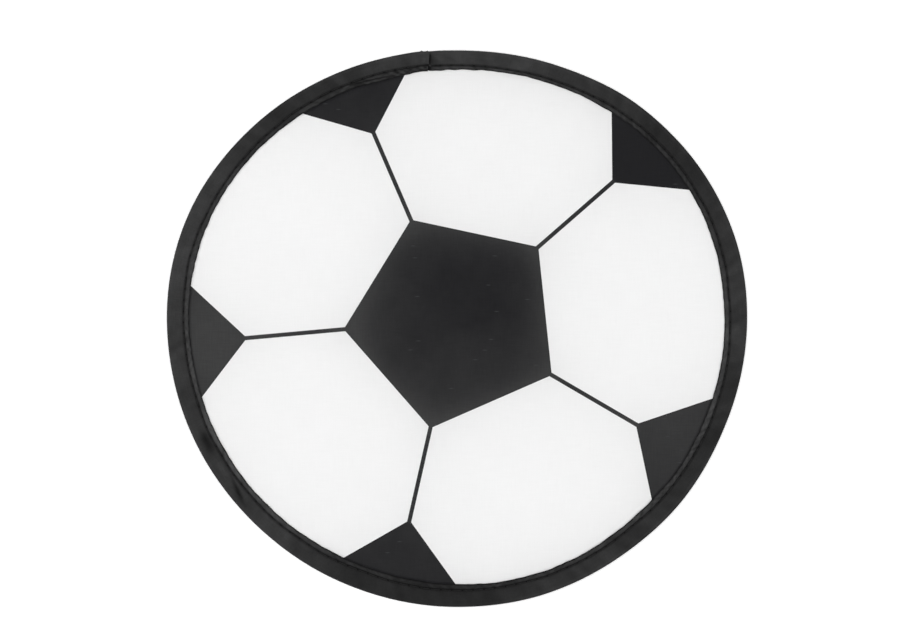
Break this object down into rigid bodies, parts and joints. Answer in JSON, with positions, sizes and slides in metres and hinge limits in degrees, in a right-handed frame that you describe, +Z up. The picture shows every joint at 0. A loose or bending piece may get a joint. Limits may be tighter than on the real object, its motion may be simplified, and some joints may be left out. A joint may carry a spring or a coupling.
{
  "type": "folding flying disc",
  "caption": "Round throwing disc: white cloth with a black football pattern, held taut by a flat spring-steel hoop inside a stitched fabric binding.",
  "frame": {"origin": "under the middle of the disc, on the surface that it lies on", "axes": "+Z up out of the printed face, +X to the right and +Y to the top of the pattern as it is seen from above; the relaxed hoop is longest along X"},
  "size_m": [0.25, 0.2399, 0.0036],
  "materials": {
    "white_taffeta": "plain-woven polyester taffeta with a slight sheen",
    "black_ink": "thin printed ink film, matte, the weave showing through",
    "black_binding": "soft plain-woven polyester binding, folded and pressed",
    "spring_steel": "tempered flat spring steel with rolled edges",
    "sleeve_steel": "zinc-plated sheet, crimped",
    "black_thread": "twisted polyester sewing thread"
  },
  "bodies": {
    "root": {"cloth_disc": "white_taffeta", "football_print": "black_ink", "binding_tape": "black_binding", "spring_hoop": "spring_steel", "hoop_ferrule": "sleeve_steel", "needle_thread": "black_thread", "bobbin_thread": "black_thread"}
  },
  "joints": []
}
